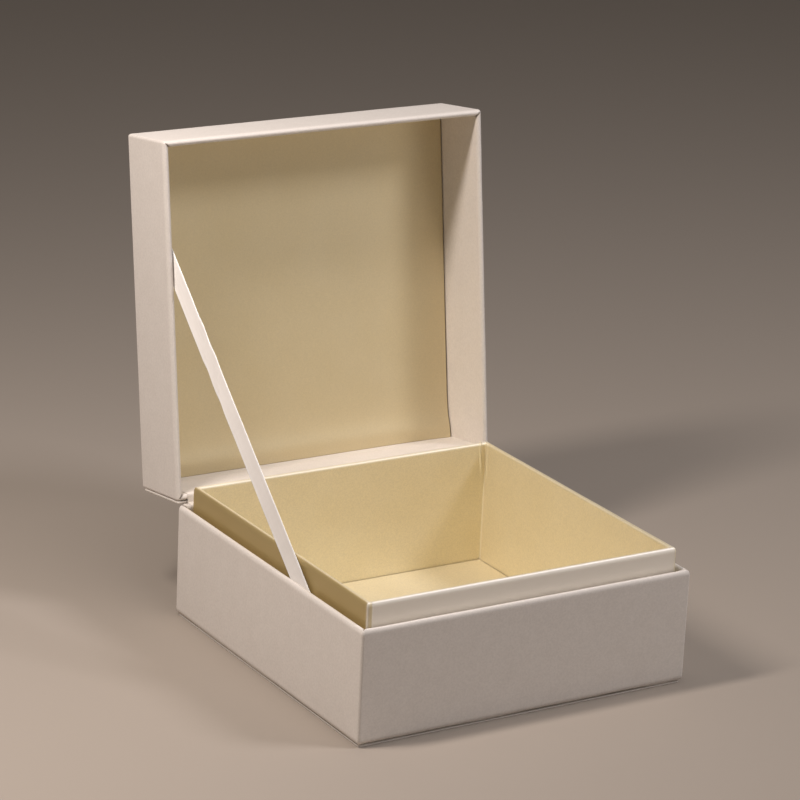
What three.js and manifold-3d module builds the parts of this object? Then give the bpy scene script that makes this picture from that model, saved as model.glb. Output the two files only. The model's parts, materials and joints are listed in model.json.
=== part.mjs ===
// A hinged presentation box for jewellery: a covered base tray with a raised neck inside it, a covered
// lid on a paper hinge along the back, and one satin ribbon that stops the lid just past upright.
//
// Millimetres, +Z up. The origin is the centre of the underside, the front faces -Y and the hinge line
// runs along X at the back. The lid is drawn shut, in a group on the hinge line, and that group is
// turned back by openAngle. Each tray is drawn with its outside face at z = 0 and its rim upwards.

import * as THREE from 'three';
import { mergeVertices } from 'three/addons/utils/BufferGeometryUtils.js';
import Module from 'manifold-3d';

const wasm = await Module();
wasm.setup();

// Overall sizes
const boxWidth = 150;
const boxDepth = 148.3;
const baseHeight = 47.8; // from the ground to the base's rim
const lidHeight = 31.8; // from the lid's rim to its top face
const openAngle = 97.8; // degrees that the lid turns back before the ribbon is taut
const rimGap = 0.3; // left between the two rims when the lid is shut

// Sheet stock
const paper = 0.2;
const greyboard = 1.75; // both trays
const neckBoard = 1.8;
const floorCard = 0.45;
const liningCard = 0.95;
const undersidePanel = 0.8; // covered card under the base
const hingeFlap = 0.9; // covered card on the back of the lid, which carries the hinge
const tape = 0.15; // gummed tape over each corner joint of a tray
const glueGap = 0.1; // between glued faces

// Covered trays
const cornerRadius = 1.2; // upright corners, outside
const edgeChamfer = 0.6; // level edges, outside
const turnIn = 18; // covering paper folded down inside the base's rim; in the lid it reaches the floor
const turnUnder = 15; // covering paper folded under the base
const undersideMargin = 0.95; // from the underside panel's edge to the base's side
const tapeLeg = 14; // corner tape on each wall
const tapeMargin = 1.2; // corner tape stops this short of a tray's outside face and rim
const cornerSteps = 4; // facets in a rounded corner

// Neck and floor
const neckInset = 4.4; // from the base's outside to the neck's
const neckRise = 8.8; // above the base's rim
const neckCornerRadius = 0.8;
const neckSeam = 0.3; // where the folded neck board's two ends meet
const floorClearance = 0.3;

// Lid lining
const liningClearance = 0.5;
const liningCornerRadius = 0.5;

// Hinge papers
const hingeLeaf = 20; // each half of the strip on the outside
const hingeLeafStart = 0.5; // from the hinge line to the start of a half
const hingeStripMargin = 3; // from the strip's end to the box's side
const flapMargin = 0.3; // from the flap's ends to the box's sides
const flapShortOfTop = 1.6; // from the flap's edge to the lid's top face
const liningLeafBase = 18; // the inside strip's half in the base
const liningLeafLid = 22; // and its half in the lid
const liningLeafMargin = 2; // from the inside strip's end to the side wall's inside

// Ribbon
const ribbonWidth = 10;
const ribbonThickness = 0.3;
const ribbonFromFront = 53.8; // from the box's front to the ribbon's middle, at both rims
const ribbonBaseTab = 20; // glued inside the base's left wall
const ribbonLidTab = 15; // glued inside the lid's left wall

// How far the layers of a covered wall lie from its outside face
const boardInset = paper + glueGap + tape + glueGap;
const turnInInset = boardInset + greyboard + glueGap;
const wall = turnInInset + paper;
const faceLayer = paper + glueGap; // the covering paper on a face with no tape under it
const boardFloor = faceLayer + greyboard; // the inside of a tray board's floor

// Levels above the ground
const panelLift = undersidePanel + glueGap; // the base tray rests on its underside panel
const baseFloor = panelLift + boardFloor;
const hingeLevel = baseHeight + rimGap / 2;
const neckFoot = baseFloor + glueGap;
const neckTop = baseHeight + neckRise;

const neckWall = paper + glueGap + neckBoard + glueGap + paper;
const past = 1; // how far a cut runs past the face that it opens

const openRadians = THREE.MathUtils.degToRad(openAngle);
const sidewallInside = boxWidth / 2 - wall;
const backwallInside = boxDepth / 2 - wall;

// What each tray covers on plan. The lid's is shorter at the back by its hinge flap, and since that
// tray is drawn upside down, its back is towards -y here.
const flapRoom = hingeFlap + glueGap;
const baseFootprint = { depth: boxDepth, y: 0 };
const lidFootprint = { depth: boxDepth - flapRoom, y: flapRoom / 2 };

const coveringPaper = new THREE.MeshStandardMaterial({ color: '#e7ddd0', roughness: 0.7, metalness: 0 });
const pearlPaper = new THREE.MeshStandardMaterial({ color: '#e0cf9f', roughness: 0.38, metalness: 0.35 });
const greyboardGrey = new THREE.MeshStandardMaterial({ color: '#a59c90', roughness: 0.92, metalness: 0 });
const tapePaper = new THREE.MeshStandardMaterial({ color: '#c9b48f', roughness: 0.8, metalness: 0 });
const satin = new THREE.MeshStandardMaterial({ color: '#f1ede6', roughness: 0.35, metalness: 0 });

// An outline centred on the origin; with no radius its corners are square.
function roundedRectangle(width, depth, radius) {
  const x = width / 2;
  const y = depth / 2;
  const shape = new THREE.Shape();
  if (radius <= 0) {
    return shape.moveTo(-x, -y).lineTo(x, -y).lineTo(x, y).lineTo(-x, y).closePath();
  }
  const quarter = Math.PI / 2;
  shape.absarc(x - radius, radius - y, radius, -quarter, 0);
  shape.absarc(x - radius, y - radius, radius, 0, quarter);
  shape.absarc(radius - x, y - radius, radius, quarter, 2 * quarter);
  shape.absarc(radius - x, radius - y, radius, 2 * quarter, 3 * quarter);
  return shape.closePath();
}

// A manifold solid from a closed geometry.
function solid(geometry) {
  geometry.deleteAttribute('normal');
  geometry.deleteAttribute('uv');
  const merged = mergeVertices(geometry);
  const vertProperties = merged.getAttribute('position').array;
  const triVerts = merged.getIndex().array;
  return new wasm.Manifold(new wasm.Mesh({ numProp: 3, vertProperties, triVerts }));
}

// A slab of a footprint drawn in by inset, from bottom to top, with its level edges chamfered.
function slab(footprint, inset, bottom, top, radius = cornerRadius - inset, chamfer = 0) {
  const outline = roundedRectangle(boxWidth - 2 * inset, footprint.depth - 2 * inset, radius);
  const geometry = new THREE.ExtrudeGeometry(outline, {
    depth: top - bottom - 2 * chamfer,
    bevelEnabled: chamfer > 0,
    bevelThickness: chamfer,
    bevelSize: chamfer,
    bevelOffset: -chamfer,
    bevelSegments: 1,
    curveSegments: cornerSteps,
  });
  geometry.translate(0, footprint.y, bottom + chamfer);
  return solid(geometry);
}

// A slab under the outside of a covered tray, whose chamfers stay parallel to the outside's.
function traySlab(footprint, inset, faceDepth, height) {
  const chamfer = edgeChamfer - faceDepth * (2 - Math.SQRT2);
  return slab(footprint, inset, faceDepth, height - faceDepth, cornerRadius - inset, chamfer);
}

function neckSlab(depthIn, bottom, top) {
  return slab(baseFootprint, neckInset + depthIn, bottom, top, neckCornerRadius - depthIn);
}

function piece(name, body, material) {
  const { vertProperties, triVerts } = body.getMesh();
  const geometry = new THREE.BufferGeometry();
  geometry.setAttribute('position', new THREE.BufferAttribute(vertProperties, 3));
  geometry.setIndex(new THREE.BufferAttribute(triVerts, 1));
  geometry.computeVertexNormals();
  const mesh = new THREE.Mesh(geometry, material);
  mesh.name = name;
  return mesh;
}

// A flat rectangular piece between two opposite corners.
function flatPiece(name, low, high, material) {
  const size = high.map((value, axis) => value - low[axis]);
  const mesh = new THREE.Mesh(new THREE.BoxGeometry(...size), material);
  mesh.position.set(...low.map((value, axis) => value + size[axis] / 2));
  mesh.name = name;
  return mesh;
}

// The folded greyboard tray inside a cover: a floor and four walls.
function trayBoard(footprint, height) {
  const inside = slab(footprint, boardInset + greyboard, boardFloor, height);
  return traySlab(footprint, boardInset, faceLayer, height).subtract(inside);
}

// The covering paper: over the floor and walls, round the rim and down the inside to turnInEnd.
function trayCover(footprint, height, turnInEnd) {
  const insideTurnIn = slab(footprint, turnInInset, turnInEnd, height + past);
  const boardSpace = traySlab(footprint, paper, paper, height).subtract(insideTurnIn);
  const mouth = slab(footprint, wall, turnInEnd - past, height + past);
  return traySlab(footprint, 0, 0, height).subtract(boardSpace).subtract(mouth);
}

// Four strips of tape over a tray board's corner joints. frontSide is the sign of y at the front.
function cornerTapes(footprint, trayName, height, frontSide) {
  const sides = [['left', -1], ['right', 1]];
  const ends = [['front', frontSide], ['back', -frontSide]];
  const band = slab(footprint, faceLayer, tapeMargin, height - tapeMargin);
  const sleeve = band.subtract(slab(footprint, faceLayer + tape, 0, height));
  return ends.flatMap(([endName, end]) => sides.map(([sideName, side]) => {
    const corner = new THREE.BoxGeometry(2 * tapeLeg, 2 * tapeLeg, height);
    corner.translate((side * boxWidth) / 2, footprint.y + (end * footprint.depth) / 2, height / 2);
    const name = `${trayName}_corner_tape_${endName}_${sideName}`;
    return piece(name, sleeve.intersect(solid(corner)), tapePaper);
  }));
}

// The neck's greyboard: one strip folded round, its ends meeting at the front left corner.
function neckStrip() {
  const outside = neckSlab(faceLayer, neckFoot, neckTop - faceLayer);
  const frame = outside.subtract(neckSlab(faceLayer + neckBoard, 0, neckTop));
  const seam = new THREE.BoxGeometry(neckSeam, 3 * neckWall, 2 * neckTop);
  seam.rotateZ(-Math.PI / 4);
  seam.translate(-boxWidth / 2 + neckInset + faceLayer, -boxDepth / 2 + neckInset + faceLayer, neckTop);
  return frame.subtract(solid(seam));
}

// Pearl paper over both faces and the top edge of the neck.
function neckCover() {
  const boardTop = neckTop - paper;
  const boardSpace = neckSlab(paper, 0, boardTop).subtract(neckSlab(neckWall - paper, 0, boardTop));
  const mouth = neckSlab(neckWall, 0, neckTop + past);
  return neckSlab(0, neckFoot, neckTop).subtract(boardSpace).subtract(mouth);
}

// A point given as its distance from the box's front at the lid's rim, in y and z with the lid open.
function openLidRim(fromFront) {
  const reach = fromFront - boxDepth;
  return new THREE.Vector2(
    boxDepth / 2 + reach * Math.cos(openRadians),
    hingeLevel - reach * Math.sin(openRadians),
  );
}

// The taut stretch of ribbon between the rims: a band cut off along each rim, extruded along x.
function ribbonSpan() {
  const lower = new THREE.Vector2(ribbonFromFront - boxDepth / 2, baseHeight + rimGap);
  const rimLine = new THREE.Vector2(Math.cos(openRadians), -Math.sin(openRadians));
  const clearOfRim = new THREE.Vector2(rimLine.y, -rimLine.x).multiplyScalar(rimGap);
  const upper = openLidRim(ribbonFromFront).add(clearOfRim);
  const along = upper.clone().sub(lower).normalize();
  const cutAlong = (line) => line.clone().multiplyScalar(ribbonWidth / 2 / Math.abs(along.cross(line)));
  const lowerCut = cutAlong(new THREE.Vector2(1, 0));
  const upperCut = cutAlong(rimLine);
  const band = new THREE.Shape([
    lower.clone().sub(lowerCut),
    lower.clone().add(lowerCut),
    upper.clone().add(upperCut),
    upper.clone().sub(upperCut),
  ]);
  const geometry = new THREE.ExtrudeGeometry(band, { depth: ribbonThickness, bevelEnabled: false });
  const yzPlane = new THREE.Matrix4().makeBasis(
    new THREE.Vector3(0, 1, 0),
    new THREE.Vector3(0, 0, 1),
    new THREE.Vector3(1, 0, 0),
  );
  geometry.applyMatrix4(yzPlane);
  geometry.translate(-sidewallInside + glueGap, 0, 0);
  const mesh = new THREE.Mesh(geometry, satin);
  mesh.name = 'ribbon_span';
  return mesh;
}

// A glued end of the ribbon, on the left wall's inside, between two levels. y is its middle.
function ribbonTab(name, y, bottom, top) {
  const x = -sidewallInside + glueGap;
  const low = [x, y - ribbonWidth / 2, bottom];
  return flatPiece(name, low, [x + ribbonThickness, y + ribbonWidth / 2, top], satin);
}

// One half of a hinge paper, between two levels; y is its lower y face.
function hingeHalf(name, halfWidth, y, bottom, top) {
  return flatPiece(name, [-halfWidth, y, bottom], [halfWidth, y + paper, top], coveringPaper);
}

const stripHalfWidth = boxWidth / 2 - hingeStripMargin;
const liningHalfWidth = sidewallInside - liningLeafMargin;

function baseTray() {
  const height = baseHeight - panelLift;
  const tray = new THREE.Group();
  tray.position.z = panelLift;
  const cover = trayCover(baseFootprint, height, height - turnIn);
  const underside = slab(baseFootprint, turnUnder, -past, paper + past);
  tray.add(
    piece('base_board', trayBoard(baseFootprint, height), greyboardGrey),
    piece('base_cover_paper', cover.subtract(underside), coveringPaper),
    ...cornerTapes(baseFootprint, 'base', height, -1),
  );
  return tray;
}

function base() {
  const group = new THREE.Group();
  const floorInset = neckInset + neckWall + floorClearance;
  const cardTop = neckFoot + floorCard;
  const paperTop = cardTop + glueGap + paper;
  const ribbonY = ribbonFromFront - boxDepth / 2;
  group.add(
    baseTray(),
    piece('base_underside_panel', slab(baseFootprint, undersideMargin, 0, undersidePanel), coveringPaper),
    piece('neck_board', neckStrip(), greyboardGrey),
    piece('neck_cover_paper', neckCover(), pearlPaper),
    piece('floor_card', slab(baseFootprint, floorInset, neckFoot, cardTop), greyboardGrey),
    piece('floor_paper', slab(baseFootprint, floorInset, paperTop - paper, paperTop), pearlPaper),
    hingeHalf(
      'hinge_strip_base_half',
      stripHalfWidth,
      boxDepth / 2 + glueGap,
      hingeLevel - hingeLeaf,
      hingeLevel - hingeLeafStart,
    ),
    hingeHalf(
      'hinge_lining_base_half',
      liningHalfWidth,
      backwallInside - glueGap - paper,
      baseHeight - liningLeafBase,
      baseHeight - glueGap,
    ),
    ribbonTab('ribbon_base_tab', ribbonY, baseHeight - ribbonBaseTab, baseHeight),
    ribbonSpan(),
  );
  return group;
}

function lidTray() {
  const tray = new THREE.Group();
  tray.rotation.x = Math.PI;
  tray.position.set(0, -boxDepth / 2, rimGap / 2 + lidHeight);
  const liningInset = wall + liningClearance;
  const cardBottom = boardFloor + glueGap;
  const paperBottom = cardBottom + liningCard + glueGap;
  const lining = (bottom, top) => slab(lidFootprint, liningInset, bottom, top, liningCornerRadius);
  tray.add(
    piece('lid_board', trayBoard(lidFootprint, lidHeight), greyboardGrey),
    piece('lid_cover_paper', trayCover(lidFootprint, lidHeight, boardFloor + glueGap), coveringPaper),
    ...cornerTapes(lidFootprint, 'lid', lidHeight, 1),
    piece('lid_lining_card', lining(cardBottom, cardBottom + liningCard), greyboardGrey),
    piece('lid_lining_paper', lining(paperBottom, paperBottom + paper), pearlPaper),
  );
  return tray;
}

// The lid, drawn shut with the hinge line as its x axis and turned back to where the ribbon stops it.
function lid() {
  const group = new THREE.Group();
  group.position.set(0, boxDepth / 2, hingeLevel);
  group.rotation.x = -openRadians;
  const rim = rimGap / 2;
  group.add(
    lidTray(),
    flatPiece(
      'lid_hinge_flap',
      [flapMargin - boxWidth / 2, -hingeFlap, hingeLeafStart],
      [boxWidth / 2 - flapMargin, 0, rim + lidHeight - flapShortOfTop],
      coveringPaper,
    ),
    hingeHalf('hinge_strip_lid_half', stripHalfWidth, glueGap, hingeLeafStart, hingeLeaf),
    hingeHalf(
      'hinge_lining_lid_half',
      liningHalfWidth,
      -flapRoom - wall - glueGap - paper,
      rim + glueGap,
      rim + liningLeafLid,
    ),
    ribbonTab('ribbon_lid_tab', ribbonFromFront - boxDepth, rim, rim + ribbonLidTab),
  );
  return group;
}

const jewelleryBox = new THREE.Group();
jewelleryBox.add(base(), lid());

export default jewelleryBox;
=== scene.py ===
"""A hinged gift box for jewellery: paper-covered base and lid, a pearl neck and lining, and a ribbon stay.

Lengths are in metres, in the frame's own axes: +Z up, the front towards -Y, the hinge along X at the
back. The lid's pieces are worked out with the lid shut and then turned open about the hinge.
"""

import json
import math

import bmesh
import bpy
import numpy as np
from mathutils import Matrix, Vector


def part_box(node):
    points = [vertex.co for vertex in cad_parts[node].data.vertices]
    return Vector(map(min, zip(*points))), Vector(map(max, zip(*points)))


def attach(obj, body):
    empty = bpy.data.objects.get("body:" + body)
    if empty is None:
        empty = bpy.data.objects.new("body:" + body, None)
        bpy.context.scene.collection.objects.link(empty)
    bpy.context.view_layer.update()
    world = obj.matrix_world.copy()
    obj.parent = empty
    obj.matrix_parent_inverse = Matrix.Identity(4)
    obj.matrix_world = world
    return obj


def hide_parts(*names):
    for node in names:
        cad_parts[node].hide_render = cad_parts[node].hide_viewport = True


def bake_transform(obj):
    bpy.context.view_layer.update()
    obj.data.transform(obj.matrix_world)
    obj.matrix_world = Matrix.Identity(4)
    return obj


bl_info = {
    "name": "Hinged Gift Box",
    "version": (1, 0, 0),
    "blender": (4, 5, 0),
    "location": "View3D > Sidebar > Gift Box",
    "description": "Builds the papers, lining and ribbon of a rigid gift box around its frame",
    "category": "Object",
}

MM = 0.001
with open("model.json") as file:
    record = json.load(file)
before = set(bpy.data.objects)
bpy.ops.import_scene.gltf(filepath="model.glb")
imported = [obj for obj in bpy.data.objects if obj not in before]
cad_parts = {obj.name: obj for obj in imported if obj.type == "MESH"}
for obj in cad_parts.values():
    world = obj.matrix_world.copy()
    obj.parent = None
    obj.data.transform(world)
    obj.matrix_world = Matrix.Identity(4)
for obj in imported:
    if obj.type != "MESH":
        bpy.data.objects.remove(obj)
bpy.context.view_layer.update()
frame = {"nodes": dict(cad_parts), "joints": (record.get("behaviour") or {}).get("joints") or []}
JOINT = frame["joints"][0]
HINGE = np.array(JOINT["pos_m"])
SHUT_ANGLE = math.radians(JOINT["range_deg"][1])
CORNER_SIGNS = np.array([(1, -1), (1, 1), (-1, 1), (-1, -1)])


# ---------------------------------------------------------------- places


def turned(points, angle):
    """Points turned by angle about the hinge: y and z rotate about the hinge line, x stays."""
    y, z = points[..., 1] - HINGE[1], points[..., 2] - HINGE[2]
    cos, sin = math.cos(angle), math.sin(angle)
    return np.stack([points[..., 0], HINGE[1] + y * cos - z * sin, HINGE[2] + y * sin + z * cos], axis=-1)


def opened(points):
    return turned(points, -SHUT_ANGLE)


def shut_box(node):
    """The lowest and highest corners of a lid node with the lid shut."""
    mesh = frame["nodes"][node].data
    flat = np.empty(len(mesh.vertices) * 3)
    mesh.vertices.foreach_get("co", flat)
    points = turned(flat.reshape(-1, 3), SHUT_ANGLE)
    return points.min(axis=0), points.max(axis=0)


def rest_box(node):
    low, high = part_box(node)
    return np.array(low), np.array(high)


# ---------------------------------------------------------------- curves and surfaces

LEAST_RADIUS = 0.25 * MM


def eased(count):
    """Shares from 0 to 1, closer together at both ends: half of one minus a cosine."""
    return (1 - np.cos(np.linspace(0, math.pi, count))) / 2


def line(start, end, count):
    return np.array(start) + eased(count)[:, None] * (np.array(end) - np.array(start))


def bend(centre, radii, start, end, count):
    """Part of an ellipse about centre with radii along inset and height, angles in degrees."""
    angle = np.radians(np.linspace(start, end, count))
    return np.array(centre) + np.stack([radii[0] * np.cos(angle), radii[1] * np.sin(angle)], axis=1)


def joined(*parts):
    """One profile from parts that each start where the last ended."""
    return np.concatenate([parts[0]] + [part[1:] for part in parts[1:]])


def loop_stations(corner_steps, side_shares):
    """Places round a rounded rectangle, anticlockwise: a corner and angle, the next corner, and the share
    of the way along the straight side to it, which is 0 within a corner."""
    rows = []
    for corner in range(4):
        first = 90 * (corner - 1)
        rows += [(corner, first + 90 * k / corner_steps, corner, 0.0) for k in range(corner_steps + 1)]
        rows += [(corner, first + 90, (corner + 1) % 4, share) for share in side_shares[1:-1]]
    return np.array(rows)


def carried(profile, low, high, radius, stations):
    """A profile of (inset, height) rows carried round the rectangle from low to high.

    Each inset draws the loop in, and its corners keep one centre until their radius is the least. A point
    is (1 - t) A + t B, where A and B are points on the arcs of two corners."""
    inset = profile[:, 0][None, :]
    bend_radius = np.maximum(radius - inset, LEAST_RADIUS)
    half = (np.array(high[:2]) - np.array(low[:2])) / 2
    middle = (np.array(high[:2]) + np.array(low[:2])) / 2
    angle = np.radians(stations[:, 1])[:, None]
    share = stations[:, 3][:, None]
    ends = []
    for column in (0, 2):
        signs = CORNER_SIGNS[stations[:, column].astype(int)]
        ends.append(
            [
                signs[:, axis][:, None] * np.maximum(half[axis] - inset - bend_radius, 0)
                + np.minimum(bend_radius, np.maximum(half[axis] - inset, 0)) * turn(angle)
                for axis, turn in ((0, np.cos), (1, np.sin))
            ]
        )
    x, y = [(1 - share) * a + share * b for a, b in zip(*ends)]
    z = np.broadcast_to(profile[:, 1][None, :], x.shape)
    return np.stack([x + middle[0], y + middle[1], z], axis=-1)


def grid_normals(points):
    """Unit normals of a grid whose rows run round a closed loop: the cross product of its two slopes."""
    around = np.roll(points, -1, axis=0) - np.roll(points, 1, axis=0)
    across = np.gradient(points, axis=1)
    normal = np.cross(around, across)
    return normal / np.maximum(np.linalg.norm(normal, axis=-1, keepdims=True), 1e-12)


def smooth_step(value, start, end):
    share = np.clip((value - start) / (end - start), 0, 1)
    return share * share * (3 - 2 * share)


def surface(name, points, loop=False, flip=False, attributes=None, uv=None):
    """A piece from a grid of points. A loop joins its last row to its first; flip turns the faces over.

    attributes are grids of one value a point, and uv is a grid of (u, v)."""
    rows, columns = points.shape[:2]
    index = np.arange(rows * columns).reshape(rows, columns)
    if loop:
        index = np.vstack([index, index[:1]])
    quads = np.stack([index[:-1, :-1], index[1:, :-1], index[1:, 1:], index[:-1, 1:]], axis=-1).reshape(-1, 4)
    if flip:
        quads = quads[:, ::-1]
    mesh = bpy.data.meshes.new(name)
    mesh.vertices.add(rows * columns)
    mesh.vertices.foreach_set("co", points.reshape(-1).astype(np.float32))
    mesh.loops.add(quads.size)
    mesh.loops.foreach_set("vertex_index", quads.reshape(-1).astype(np.int32))
    mesh.polygons.add(len(quads))
    mesh.polygons.foreach_set("loop_start", np.arange(0, quads.size, 4, dtype=np.int32))
    mesh.update(calc_edges=True)
    mesh.polygons.foreach_set("use_smooth", np.ones(len(quads), dtype=bool))
    for attribute, values in (attributes or {}).items():
        layer = mesh.attributes.new(attribute, "FLOAT", "POINT")
        layer.data.foreach_set("value", values.reshape(-1).astype(np.float32))
    if uv is not None:
        layer = mesh.uv_layers.new(name="UVMap")
        layer.data.foreach_set("uv", uv.reshape(-1, 2)[quads.reshape(-1)].reshape(-1).astype(np.float32))
    piece = bpy.data.objects.new(name, mesh)
    bpy.context.scene.collection.objects.link(piece)
    return piece


def welded(piece):
    """Merges the points that meet at a pole or along a middle line, which drops the flattened faces."""
    work = bmesh.new()
    work.from_mesh(piece.data)
    bmesh.ops.remove_doubles(work, verts=work.verts, dist=0.002 * MM)
    work.to_mesh(piece.data)
    work.free()
    return piece


def thickened(piece, thickness):
    """Gives a sheet its thickness on the inner side."""
    solidify = piece.modifiers.new("Paper thickness", "SOLIDIFY")
    solidify.thickness = thickness
    solidify.offset = -1
    solidify.use_even_offset = False
    return piece


def finished(piece, material, slot, *nodes):
    """Gives a piece its material and hides the CAD nodes that it stands for. Its slot is not used."""
    piece.data.materials.append(material)
    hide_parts(*nodes)
    return piece


def waves(points, length, seed, count=5):
    """A smooth field from -1 to 1: the mean of sines along fixed odd directions, about length apart."""
    chance = np.random.default_rng(seed)
    directions = chance.normal(size=(count, 3))
    directions /= np.linalg.norm(directions, axis=1, keepdims=True)
    phases = chance.uniform(0, 2 * math.pi, count)
    spacing = length * chance.uniform(0.7, 1.4, count)
    along = points @ directions.T / spacing
    return np.sin(2 * math.pi * along + phases).mean(axis=-1)


def from_diagonal(points, low, high):
    """Each point's distance from the diagonal of its nearest corner, positive towards the sides along x."""
    middle = (low[:2] + high[:2]) / 2
    half = (high[:2] - low[:2]) / 2
    inset = half - np.abs(points[..., :2] - middle)
    return (inset[..., 0] - inset[..., 1]) / math.sqrt(2)


# ---------------------------------------------------------------- materials

# Sockets of the colour mix node: its share, its two colours and its result.
SHARE, FIRST, SECOND, MIXED = 0, 6, 7, 2
# How many bands the wave texture draws in one unit at a scale of 1.
WAVES_IN_ONE = 20


def linear(code):
    """A hex colour made linear: a channel c becomes ((c + 0.055) / 1.055) to the power 2.4, or c / 12.92."""
    channels = [int(code[k : k + 2], 16) / 255 for k in (1, 3, 5)]
    return (*(c / 12.92 if c <= 0.04045 else ((c + 0.055) / 1.055) ** 2.4 for c in channels), 1.0)


def feed(tree, node, inputs):
    """Gives sockets, by name or number, a value each or a (node, output) to link from."""
    for socket, value in inputs.items():
        if isinstance(value, tuple) and isinstance(value[0], bpy.types.Node):
            tree.links.new(value[0].outputs[value[1]], node.inputs[socket])
        else:
            node.inputs[socket].default_value = value


def add_node(tree, kind, inputs=None, **settings):
    """Adds a node with its settings and inputs. The kind is its class without ShaderNode."""
    node = tree.nodes.new("ShaderNode" + kind)
    for name, value in settings.items():
        setattr(node, name, value)
    feed(tree, node, inputs or {})
    return node


def new_material(name, preview):
    """A material, its node tree, and its shader, which is joined to the output."""
    material = bpy.data.materials.new(name)
    material.use_nodes = True
    material.diffuse_color = preview
    tree = material.node_tree
    tree.nodes.clear()
    shader = add_node(tree, "BsdfPrincipled")
    add_node(tree, "OutputMaterial", {"Surface": (shader, 0)})
    return material, tree, shader


def grain(size):
    """The scale of a noise whose marks are about size apart on Object coordinates."""
    return 1 / size


def laid_paper(name, colour, shade, scuff_and_highlight):
    """Uncoated art paper, wire-marked and calendered, glued over board: soft, matt, faintly mottled, with a
    fine fibre tooth, and a little paler where it is creased over an edge, partly as scuffing and partly as
    a painted highlight."""
    material, tree, shader = new_material(name, colour)
    place = add_node(tree, "TexCoord")
    # Fibre clumps of about 6 mm change the tone a little, as they do when paper is held to the light.
    clouds = add_node(
        tree, "TexNoise",
        {"Vector": (place, "Object"), "Scale": grain(6 * MM), "Detail": 4.0, "Roughness": 0.55},
    )
    # The paper's tooth is about 0.3 mm. It is drawn at 0.9 mm so that it shows.
    tooth = add_node(
        tree, "TexNoise",
        {"Vector": (place, "Object"), "Scale": grain(0.9 * MM), "Detail": 6.0, "Roughness": 0.65},
    )
    tone = add_node(tree, "Mix", {SHARE: (clouds, 0), FIRST: shade, SECOND: colour}, data_type="RGBA")
    speckle = add_node(
        tree, "MapRange",
        {"Value": (tooth, 0), "From Min": 0.35, "From Max": 0.65, "To Min": 0.94, "To Max": 1.03},
    )
    tinted = add_node(tree, "VectorMath", {0: (tone, MIXED), 1: (speckle, 0)}, operation="MULTIPLY")
    # A crease is painted paler, partly as scuffing and partly as a painted highlight, and the tucks of a
    # mitred corner are painted dark brown as painted shade.
    marked = (tinted, 0)
    for attribute, tint in (("fold", scuff_and_highlight), ("tuck", linear("#6f5c4c"))):
        mark = add_node(tree, "Attribute", attribute_name=attribute)
        inputs = {SHARE: (mark, "Fac"), FIRST: marked, SECOND: tint}
        marked = (add_node(tree, "Mix", inputs, data_type="RGBA"), MIXED)
    roughness = add_node(
        tree, "MapRange",
        {"Value": (tooth, 0), "From Min": 0.3, "From Max": 0.7, "To Min": 0.58, "To Max": 0.72},
    )
    soft = add_node(tree, "Bump", {"Height": (clouds, 0), "Distance": 0.08 * MM, "Strength": 0.35})
    bump = add_node(
        tree, "Bump",
        {"Height": (tooth, 0), "Normal": (soft, 0), "Distance": 0.05 * MM, "Strength": 0.5},
    )
    feed(
        tree, shader,
        {
            "Base Color": marked,
            "Roughness": (roughness, 0),
            "Normal": (bump, 0),
            "IOR": 1.5,
            "Specular IOR Level": 0.28,
            "Sheen Weight": 0.08,
            "Sheen Roughness": 0.5,
        },
    )
    return material


def pearl_paper(name, colour, shade, edge, painted_sheen_tint, painted_shade_tint):
    """Paper coated with mica pigment, calendered smooth: a satin, half-metal glow with a very fine grain.
    Its colour carries a painted highlight along edges and corners, a painted sheen that makes the neck's
    front wall paler, and painted shade that makes the neck's left wall and the lid lining deeper."""
    material, tree, shader = new_material(name, colour)
    place = add_node(tree, "TexCoord")
    # The coat settles unevenly over about 18 mm.
    drift = add_node(
        tree, "TexNoise",
        {"Vector": (place, "Object"), "Scale": grain(18 * MM), "Detail": 3.0, "Roughness": 0.5},
    )
    # Mica flakes are about 0.05 mm. Their clusters are drawn at 0.7 mm so that they show.
    flakes = add_node(
        tree, "TexNoise",
        {"Vector": (place, "Object"), "Scale": grain(0.7 * MM), "Detail": 5.0, "Roughness": 0.7},
    )
    tone = add_node(tree, "Mix", {SHARE: (drift, 0), FIRST: shade, SECOND: colour}, data_type="RGBA")
    glint = add_node(
        tree, "MapRange",
        {"Value": (flakes, 0), "From Min": 0.35, "From Max": 0.65, "To Min": 0.93, "To Max": 1.05},
    )
    tinted = add_node(tree, "VectorMath", {0: (tone, MIXED), 1: (glint, 0)}, operation="MULTIPLY")
    # Painted highlight: the coat is made paler along edges and corners. Painted sheen: one wall is made
    # paler. Painted shade: other walls are made deeper.
    marked = (tinted, 0)
    for attribute, tint in (("fold", edge), ("pale_wall", painted_sheen_tint), ("deep_wall", painted_shade_tint)):
        mark = add_node(tree, "Attribute", attribute_name=attribute)
        inputs = {SHARE: (mark, "Fac"), FIRST: marked, SECOND: tint}
        marked = (add_node(tree, "Mix", inputs, data_type="RGBA"), MIXED)
    roughness = add_node(
        tree, "MapRange",
        {"Value": (flakes, 0), "From Min": 0.3, "From Max": 0.7, "To Min": 0.5, "To Max": 0.62},
    )
    bump = add_node(tree, "Bump", {"Height": (flakes, 0), "Distance": 0.03 * MM, "Strength": 0.4})
    feed(
        tree, shader,
        {
            "Base Color": marked,
            "Metallic": 0.55,
            "Roughness": (roughness, 0),
            "Normal": (bump, 0),
            "Coat Weight": 0.3,
            "Coat Roughness": 0.4,
        },
    )
    return material


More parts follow.
